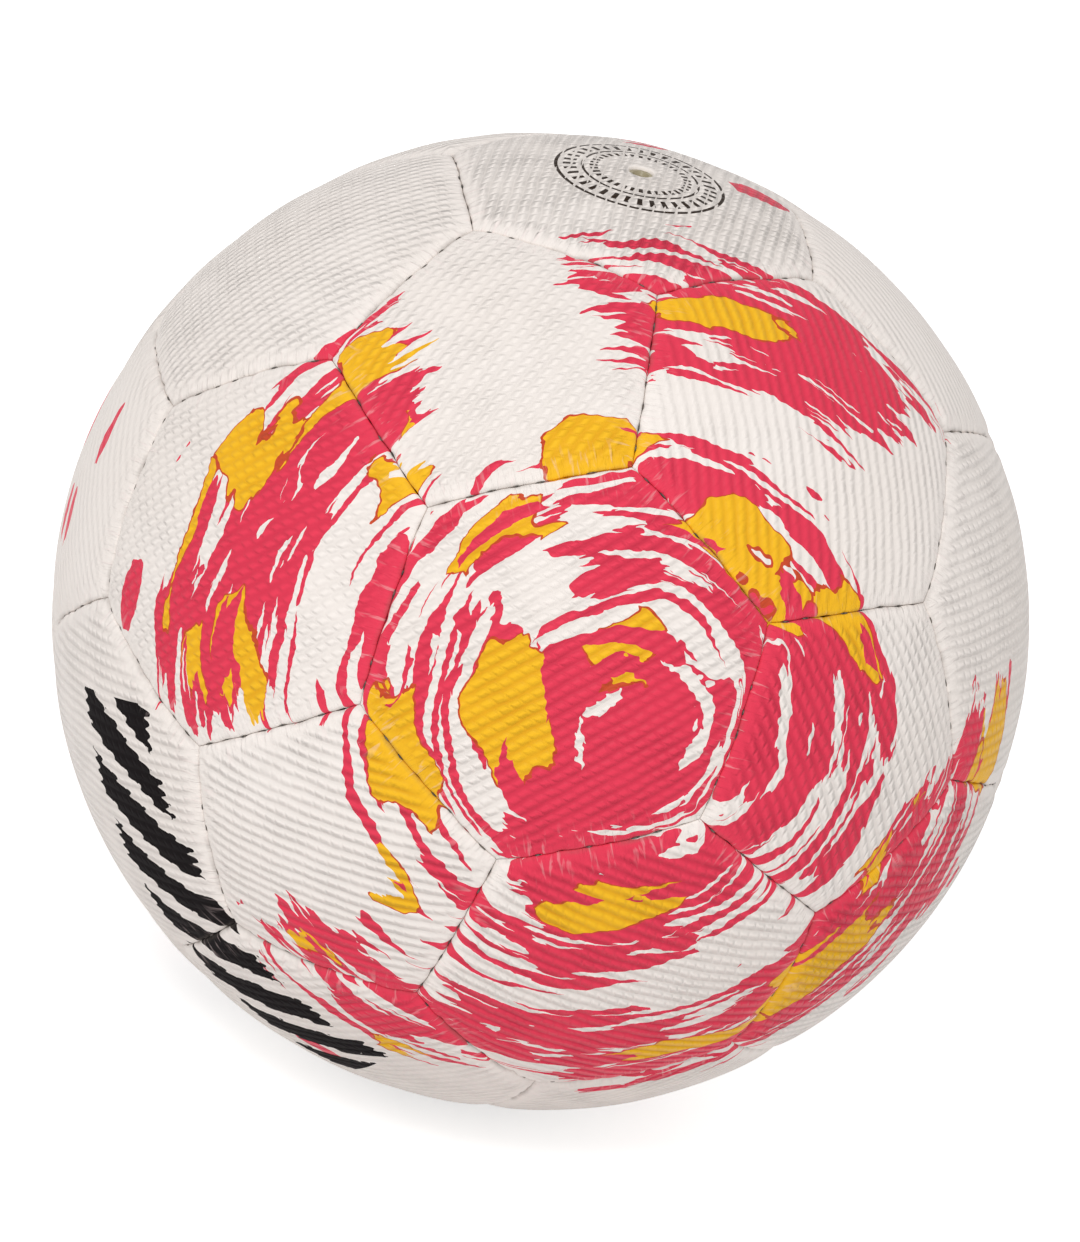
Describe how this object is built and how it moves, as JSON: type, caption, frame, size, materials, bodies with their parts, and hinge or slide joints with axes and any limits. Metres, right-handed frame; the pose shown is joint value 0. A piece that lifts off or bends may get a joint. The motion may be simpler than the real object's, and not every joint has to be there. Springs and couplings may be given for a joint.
{
  "type": "handball",
  "caption": "Hand-stitched handball of hexagon and pentagon panels in grippy synthetic leather, over foam, cloth lining and a latex bladder with a needle valve.",
  "frame": {"origin": "centre of the ball", "axes": "+Z runs out through the valve; -Y runs towards the pentagon panel below the valve panel, on the side that the picture shows"},
  "size_m": [0.188, 0.188, 0.188],
  "materials": {
    "panel_face": "off-white polyurethane grip, embossed with fine broken ridges, matt",
    "foam": "closed-cell foam",
    "lining": "laminated polyester and cotton cloth",
    "thread": "waxed twisted polyester thread",
    "latex": "natural latex, semi-matt",
    "valve_rubber": "moulded butyl rubber, matt",
    "plug_rubber": "oiled rubber plug"
  },
  "bodies": {
    "root": {"valve_panel": "panel_face", "hexagon_panel_02": "panel_face", "hexagon_panel_03": "panel_face", "hexagon_panel_04": "panel_face", "hexagon_panel_05": "panel_face", "hexagon_panel_06": "panel_face", "hexagon_panel_07": "panel_face", "hexagon_panel_08": "panel_face", "hexagon_panel_09": "panel_face", "hexagon_panel_10": "panel_face", "hexagon_panel_11": "panel_face", "hexagon_panel_12": "panel_face", "hexagon_panel_13": "panel_face", "hexagon_panel_14": "panel_face", "hexagon_panel_15": "panel_face", "hexagon_panel_16": "panel_face", "hexagon_panel_17": "panel_face", "hexagon_panel_18": "panel_face", "hexagon_panel_19": "panel_face", "hexagon_panel_20": "panel_face", "pentagon_panel_01": "panel_face", "pentagon_panel_02": "panel_face", "pentagon_panel_03": "panel_face", "pentagon_panel_04": "panel_face", "pentagon_panel_05": "panel_face", "pentagon_panel_06": "panel_face", "pentagon_panel_07": "panel_face", "pentagon_panel_08": "panel_face", "pentagon_panel_09": "panel_face", "pentagon_panel_10": "panel_face", "pentagon_panel_11": "panel_face", "pentagon_panel_12": "panel_face", "valve_foam_pad": "foam", "hexagon_foam_pads": "foam", "pentagon_foam_pads": "foam", "valve_lining": "lining", "hexagon_linings": "lining", "pentagon_linings": "lining", "hexagon_seam_thread": "thread", "pentagon_seam_thread": "thread", "bladder": "latex", "valve_tube": "valve_rubber", "valve_plug": "plug_rubber", "valve_patch": "latex", "valve_backing_ring": "lining"}
  },
  "joints": []
}
